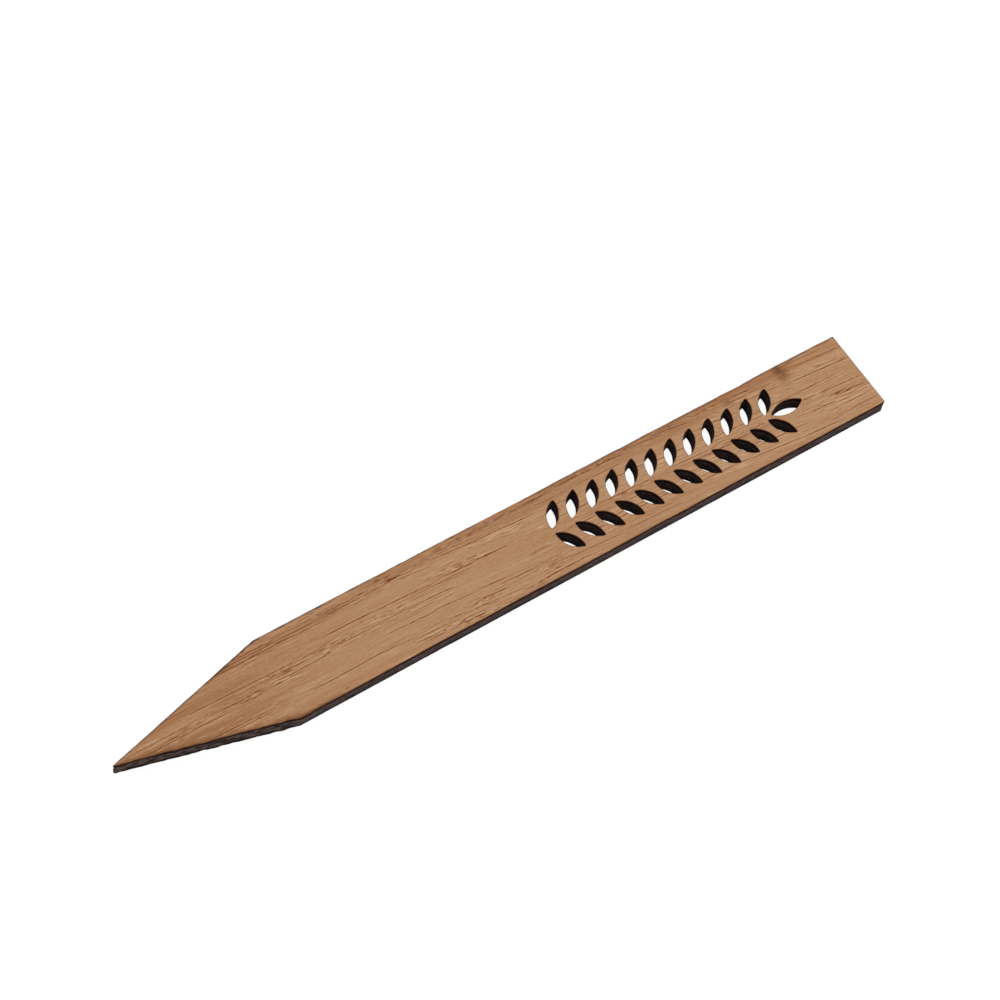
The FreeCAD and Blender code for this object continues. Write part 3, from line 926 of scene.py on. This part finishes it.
# on the long sides and on the point, how far the bands wander in mm, and how strong the blotches are
BAND_WANDER, UNEVENNESS = (0.6, 1.2), (0.5, 1.0)
# the heights between which one colour passes into the next, in mm
INTO_CORE, CORE_LIGHTENS, INTO_VENEER, VENEER_BROWNS = (0.6, 1.2), (1.0, 3.4), (3.0, 3.4), (3.95, 4.35)


def char_colour(finish):
    """The colour of a burnt wall, at any height of the stake."""
    place = finish.fact("fibre", "Vector")
    height = finish.add("ShaderNodeSeparateXYZ", {0: place}, "Z")
    along = finish.add("ShaderNodeSeparateXYZ", {0: place}, "X")
    wander = finish.fade(along, SHOULDER + 6, SHOULDER, *BAND_WANDER)
    wave = finish.sum("SUBTRACT", finish.noise(place, (4.5, 4.5, 5)), 0.5)
    wavy = finish.sum("MULTIPLY_ADD", wave, wander, finish.sum("ADD", height, 0.15))
    core = finish.mix(finish.fade(wavy, *CORE_LIGHTENS), CHARRED_CORE_BOTTOM, CHARRED_CORE_TOP)
    core = finish.mix(finish.fade(wavy, *INTO_VENEER), core, CHARRED_VENEER)
    core = finish.mix(finish.fade(wavy, *VENEER_BROWNS), core, BROWNED_VENEER)
    colour = finish.mix(finish.fade(wavy, *INTO_CORE), CHARRED_BACK, core)
    speck = finish.fade(finish.noise(place, (0.5, 0.5, 0.28), 1.0, 5.0), 0.71, 0.76)
    in_core = finish.sum("MULTIPLY", finish.fade(height, 0.8, 1.3), finish.fade(height, 3.4, 3.0))
    colour = finish.mix(finish.sum("MULTIPLY", speck, in_core), colour, SCORCHED_SPECK)
    blotch = finish.fade(finish.noise(place, (1.8, 1.8, 0.9), 3.0, 2.0), 0.37, 0.63, -0.6, 0.65)
    stripe = finish.fade(finish.noise(place, (9, 9, 0.45), 2.0, 8.0), 0.37, 0.63, -0.38, 0.4)
    uneven = finish.fade(along, SHOULDER + 6, SHOULDER, *UNEVENNESS)
    light = finish.sum("MULTIPLY_ADD", finish.sum("ADD", blotch, stripe), uneven, 1.0)
    # painted shade: the walls of the openings are darkened
    opening_shade = finish.fade(finish.fact("opening"), 0.0, 1.0, 1.0, 1 - OPENING_SHADE_SHARE)
    return finish.brighten(colour, finish.sum("MULTIPLY", finish.sum("MAXIMUM", light, 0.2), opening_shade))


# %% [markdown]
# ## Veneer
#
# Bare wood is never one colour. Under its marks, this veneer runs between a pale tan and a redder brown,
# and it does so on five scales at once: bands of a few millimetres, streaks, long fibres, short ones, and
# a fine speckle where they end. Each scale is a noise that is stretched along the fibres. Whole fields
# differ too: the wood is browner on part of the far side, and paler at the far rim of the point. The face
# is also painted darker and browner towards the tip, as painted shade where the light falls off there.
# The strength of the marks then leads from that colour to a still paler or a much darker one.
# Two finer noises finish the marks: one breaks a dark line into pores, the other draws the dashes of the
# hatched patches.

# %% Wood before the heat of the cut
PALE_WOOD = shade(198, 158, 121)
BROWN_WOOD = shade(160, 111, 74)
EARLY_WOOD = shade(126, 64, 0)
PORE_EDGE = shade(226, 193, 156)
# (patch size along, across and through in mm, detail, gain)
GRAIN_SCALES = [
    ((90, 3.2, 9), 1.0, 0.34), ((50, 1.1, 9), 1.0, 0.36), ((24, 0.32, 9), 0.0, 0.34),
    ((6.0, 0.22, 9), 0.0, 0.38), ((0.7, 0.22, 9), 0.0, 0.45),
]
# shares of the brown, over the pale
# the share added at the tip is painted shade: the face darkens towards the tip as if less light fell there
USUAL_BROWN, TIP_SHADE_SHARE, BROWNER_ON_FAR_SIDE, PALER_AT_FAR_RIM = 0.53, 0.35, 0.29, 0.40
CLOUDS_ON_POINT = 0.18
# how far from the middle line these fields begin, in mm
FAR_SIDE_FROM, FAR_RIM_FROM = (6.2, 7.6), (8.5, 9.3)
# (along, across and through in mm) of the clouds, of the breaks in a dark line, and of the dashes of a
# hatched patch
CLOUD_SIZE, BREAK_SIZE, DASH_SIZE = (16, 1.7, 9), (1.1, 0.15, 9), (1.5, 0.20, 9)


def veneer_colour(finish):
    """The colour of the face of a veneer, before the heat of the cut."""
    fibre = finish.fact("fibre", "Vector")
    along = finish.add("ShaderNodeSeparateXYZ", {0: finish.fact("place", "Vector")}, "X")
    across = finish.add("ShaderNodeSeparateXYZ", {0: finish.fact("place", "Vector")}, "Y")
    # painted shade: the brown share starts higher at the tip and falls off along the first 75 mm
    brown = finish.fade(along, -END, -25.0, USUAL_BROWN + TIP_SHADE_SHARE, USUAL_BROWN)
    clouds = finish.noise(fibre, CLOUD_SIZE, 1.0, 52.0)
    clouds = finish.fade(clouds, 0.3, 0.7, -CLOUDS_ON_POINT, CLOUDS_ON_POINT)
    brown = finish.sum("MULTIPLY_ADD", clouds, finish.fade(along, SHOULDER + 4, SHOULDER - 6), brown)
    browned = finish.fade(along, 90.0, 84.0, 0.5, 1.0)
    far_side = finish.sum("MULTIPLY", finish.fade(across, *FAR_SIDE_FROM), browned)
    brown = finish.sum("MULTIPLY_ADD", far_side, BROWNER_ON_FAR_SIDE, brown)
    far_rim = finish.sum("MULTIPLY", finish.fade(across, *FAR_RIM_FROM), finish.fade(along, -30.0, -42.0))
    brown = finish.sum("MULTIPLY_ADD", far_rim, -PALER_AT_FAR_RIM, brown)
    for shift, (size, detail, gain) in enumerate(GRAIN_SCALES):
        wave = finish.noise(fibre, size, detail, 3.0 * shift)
        brown = finish.sum("ADD", finish.sum("MULTIPLY_ADD", wave, gain, -gain / 2), brown)
    colour = finish.mix(brown, PALE_WOOD, BROWN_WOOD)
    breaks = finish.fade(finish.noise(fibre, BREAK_SIZE, 1.0, 40.0), 0.35, 0.65, 0.55, 1.3)
    dashes, hatching = finish.noise(fibre, DASH_SIZE, 1.0, 44.0), finish.fact("hatching")
    dark = finish.sum("MULTIPLY", finish.fact("dark"), breaks)
    dark = finish.sum("MULTIPLY_ADD", hatching, finish.fade(dashes, 0.5, 0.62, 0.0, 0.8), dark)
    pale_dashes = finish.fade(dashes, 0.5, 0.38, 0.0, 0.5)
    pale = finish.sum("MULTIPLY_ADD", hatching, pale_dashes, finish.fact("pale"))
    colour = finish.mix(finish.sum("MULTIPLY", pale, 0.7), colour, PORE_EDGE)
    return finish.mix(dark, colour, EARLY_WOOD)


# %% [markdown]
# The heat comes on top. Its reach, the charred rim and the smoke are facts of the mesh, and a noise breaks
# each of them up, so that the brown edge creeps in along some fibres further than along others. In the
# smoke a few pores are burnt dark.

# %% The heat of the cut
SCORCHED_WOOD = shade(132, 86, 52)
SMOKED_WOOD = shade(100, 54, 12)
CHARRED_RIM = shade(54, 40, 32)
BURNT_PORE = shade(80, 44, 16)
SPECK_SIZE = (0.8, 0.13, 9)


def heat_colour(finish, colour):
    """The colour near a cut: charred at the rim, then brown, with smoke over it in places."""
    fibre, depth = finish.fact("fibre", "Vector"), finish.fact("cut_depth")
    creep = finish.fade(finish.noise(fibre, (2.5, 0.7, 9), 3.0, 12.0), 0.3, 0.7, 0.3, 1.7)
    reach = finish.sum("MULTIPLY", finish.fact("heat_reach"), creep)
    colour = finish.mix(finish.fade(depth, reach, 0.0, 0.0, 0.8), colour, SCORCHED_WOOD)
    drift = finish.fade(finish.noise(fibre, (4.0, 1.2, 9), 3.0, 16.0), 0.2, 0.8, 0.4, 1.6)
    colour = finish.mix(finish.sum("MULTIPLY", finish.fact("smoke"), drift), colour, SMOKED_WOOD)
    speck = finish.fade(finish.noise(fibre, SPECK_SIZE, 1.0, 48.0), 0.60, 0.68, 0.0, 0.75)
    speck = finish.sum("MULTIPLY", speck, finish.fade(finish.fact("smoke"), 0.03, 0.25))
    colour = finish.mix(speck, colour, BURNT_PORE)
    rim = finish.fade(finish.noise(fibre, (3.0, 3.0, 9), 2.0, 24.0), 0.4, 0.62, 0.4, 1.4)
    rim = finish.sum("MULTIPLY", rim, finish.fact("char_reach"))
    return finish.mix(finish.fade(depth, rim, 0.0), colour, CHARRED_RIM)


# %% [markdown]
# A piece shows wood on its face and char on its walls, so one finish holds both and picks by the face's
# own kind. The relief that is too fine to carve is bump: fibres on the face, grit on the walls. Char
# scatters light like soot, with hardly any gloss, while the face has the dull sheen of bare wood.

# %% The finish of a layer
FACE_ROUGHNESS, CHAR_ROUGHNESS = (0.52, 0.72), 0.93
WOOD_SHINE, CHAR_SHINE = 0.18, 0.07
BUMP_DEPTH = 0.03 * MM


def layer_finish(name, face, shine):
    """A material whose face colour is given by a function and whose walls are charred."""
    finish = Finish(name)
    fibre, wall = finish.fact("fibre", "Vector"), finish.fact("wall")
    colour = finish.mix(wall, face(finish), char_colour(finish))
    fibres = finish.noise(fibre, (2.4, 0.12, 9), 3.0, 20.0)
    grit = finish.noise(fibre, (0.22, 0.22, 0.25), 4.0, 30.0)
    relief = finish.weigh(wall, fibres, grit)
    rough = finish.fade(fibres, 0.2, 0.8, *FACE_ROUGHNESS)
    rough = finish.weigh(wall, rough, CHAR_ROUGHNESS)
    inputs = {"Height": relief, "Distance": BUMP_DEPTH, "Strength": 0.6}
    finish.put(finish.shader.inputs["Base Color"], colour)
    finish.put(finish.shader.inputs["Roughness"], rough)
    finish.put(finish.shader.inputs["Normal"], finish.add("ShaderNodeBump", inputs))
    finish.shader.inputs["Specular IOR Level"].default_value = shine
    return finish.material


def wood(finish):
    """The colour of a veneer's face, with the heat of the cut on it."""
    return heat_colour(finish, veneer_colour(finish))


front_wood = layer_finish("front_veneer_wood", wood, WOOD_SHINE)
back_wood = layer_finish("back_veneer_wood", wood, WOOD_SHINE)
fibre_board = layer_finish("charred_fibre_board", char_colour, CHAR_SHINE)

# %% [markdown]
# ## The three layers
#
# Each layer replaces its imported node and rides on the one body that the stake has. The rim of each veneer
# is rounded by a few hundredths of a millimetre, because wood that chars also shrinks. The fibre core has
# the most rings: its crumbled wall is what the eye rests on along the near side.

RIM = 0.03
CORE_RINGS = 16
# steps of the points on a carved face along and across the fibres, in mm
FRONT_STEPS, BACK_STEPS = (0.72, 0.076), (1.0, 0.13)


def declare(piece, node):
    """Hang the piece on the stake's one body and hide the imported node that it replaces."""
    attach(piece, "root")
    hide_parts(node)


below = [(FRONT - step, 0) for step in (RIM, 0.25, 0.45)]
front_levels = [(FRONT, RIM), *below, (FRONT_GLUE_LINE, 0)]
front_grain = front_marks, HATCHED_PATCHES, FRONT_STEPS
front = build_layer("front_veneer_face", front_levels, front_wood, *front_grain)
declare(front, "front_veneer")

core_levels = [(height, 0) for height in np.linspace(FRONT_GLUE_LINE, BACK_GLUE_LINE, CORE_RINGS)]
core = build_layer("core_board_charred", core_levels, fibre_board)
declare(core, "core_board")

above = [(BACK + step, 0) for step in (RIM, 0.2, 0.4)]
back_levels = [(BACK, RIM), *above, (BACK_GLUE_LINE, 0)]
back_grain = back_marks, back_patches, BACK_STEPS
back = build_layer("back_veneer_face", back_levels, back_wood, *back_grain)
declare(back, "back_veneer")

# %% [markdown]
# ## The studio
#
# The stake lies on a pale floor under a white sky and one large soft lamp. Together they light a level
# surface so that a colour comes out about as it was written. The floor and the sky show themselves as
# white to the camera and in reflections, by their own materials and not by more light, and the floor keeps
# a share of true shading so that the stake's shadow is still there.

# %% Floor and sky
FLOOR_GAP = 0.02
FLOOR_SIZE = 4000.0
FLOOR_GLOW, FLOOR_SHADING, FLOOR_COLOUR = 0.935, 0.10, 0.8
SKY_LIGHT = 0.72


def seen_directly(tree):
    """1 for rays from the camera, from gloss and through glass, else 0."""
    path = tree.nodes.new("ShaderNodeLightPath")
    total = path.outputs["Is Camera Ray"]
    for name in ("Is Glossy Ray", "Is Transmission Ray"):
        larger = tree.nodes.new("ShaderNodeMath")
        larger.operation = "MAXIMUM"
        tree.links.new(total, larger.inputs[0])
        tree.links.new(path.outputs[name], larger.inputs[1])
        total = larger.outputs[0]
    return total


bpy.ops.mesh.primitive_plane_add(size=FLOOR_SIZE * MM, location=(0, 0, (BACK - FLOOR_GAP) * MM))
floor = bpy.context.object
floor.name = "floor"
pale = Finish("pale_floor")
glow = pale.add("ShaderNodeEmission", {"Color": (1, 1, 1, 1), "Strength": FLOOR_GLOW})
shaded = pale.add("ShaderNodeBsdfDiffuse", {"Color": [FLOOR_SHADING] * 3 + [1]})
shown = pale.add("ShaderNodeAddShader", {0: glow, 1: shaded})
plain = pale.add("ShaderNodeBsdfDiffuse", {"Color": [FLOOR_COLOUR] * 3 + [1]})
surface = pale.add("ShaderNodeMixShader", {0: seen_directly(pale.tree), 1: plain, 2: shown})
pale.put(pale.tree.nodes["Material Output"].inputs["Surface"], surface)
pale.tree.nodes.remove(pale.shader)
floor.data.materials.append(pale.material)

sky = bpy.data.worlds.new("white_sky")
sky.use_nodes = True
bpy.context.scene.world = sky
sky_strength = sky.node_tree.nodes.new("ShaderNodeMapRange")
sky_strength.inputs["To Min"].default_value = SKY_LIGHT
sky.node_tree.links.new(seen_directly(sky.node_tree), sky_strength.inputs["Value"])
background = sky.node_tree.nodes["Background"]
background.inputs["Color"].default_value = (1, 1, 1, 1)
sky.node_tree.links.new(sky_strength.outputs[0], background.inputs["Strength"])

# %% [markdown]
# The lamp hangs beyond the square end, because the photograph is a little brighter there. Its power is
# worked out from the share of light that the sky leaves over: a level surface that is to look as bright as
# its own colour needs pi watts on each square metre.

# %% The lamp
LAMP_PLACE = Vector((320.0, -120.0, 620.0)) * MM
LAMP_SIZE = 700.0 * MM

lamp_reach = LAMP_PLACE.length
lamp_data = bpy.data.lights.new("soft_lamp", "AREA")
lamp_data.size = LAMP_SIZE
lamp_data.energy = (1 - SKY_LIGHT) * math.pi**2 * lamp_reach**3 / LAMP_PLACE.z
lamp = bpy.data.objects.new("soft_lamp", lamp_data)
lamp.location = LAMP_PLACE
lamp.rotation_euler = (-LAMP_PLACE).to_track_quat("-Z", "Y").to_euler()
bpy.context.scene.collection.objects.link(lamp)
print(f"lamp of {lamp_data.energy:.2f} W at {lamp_reach:.2f} m")

# %% [markdown]
# ## The camera
#
# The photograph looks down on the stake from about half a metre, over its near left side. The place, the
# aim and the roll were found by matching the stake's corners with the photograph, and the long lens keeps
# the two long edges almost parallel.

# %% The camera
CAMERA_PLACE = Vector((-177.996, -179.201, 472.165)) * MM
CAMERA_AIM = Vector((5.685, 12.793, 4.2)) * MM
CAMERA_ROLL = math.radians(12.183)
CAMERA_LENS, CAMERA_SENSOR = 85.231, 36.0

camera_data = bpy.data.cameras.new("camera")
camera_data.lens, camera_data.sensor_width = CAMERA_LENS, CAMERA_SENSOR
camera = bpy.data.objects.new("camera", camera_data)
camera.location = CAMERA_PLACE
turned = (CAMERA_AIM - CAMERA_PLACE).to_track_quat("-Z", "Y") @ Quaternion((0, 0, 1), CAMERA_ROLL)
camera.rotation_euler = turned.to_euler()
bpy.context.scene.collection.objects.link(camera)
bpy.context.scene.camera = camera
bpy.context.scene.view_settings.view_transform = "Standard"

# %% [markdown]
# ## The last step
#
# The dressed stake has to stay inside the imported one. The last step brings the scene up to date.

# %% Bring the scene up to date
bpy.context.view_layer.update()
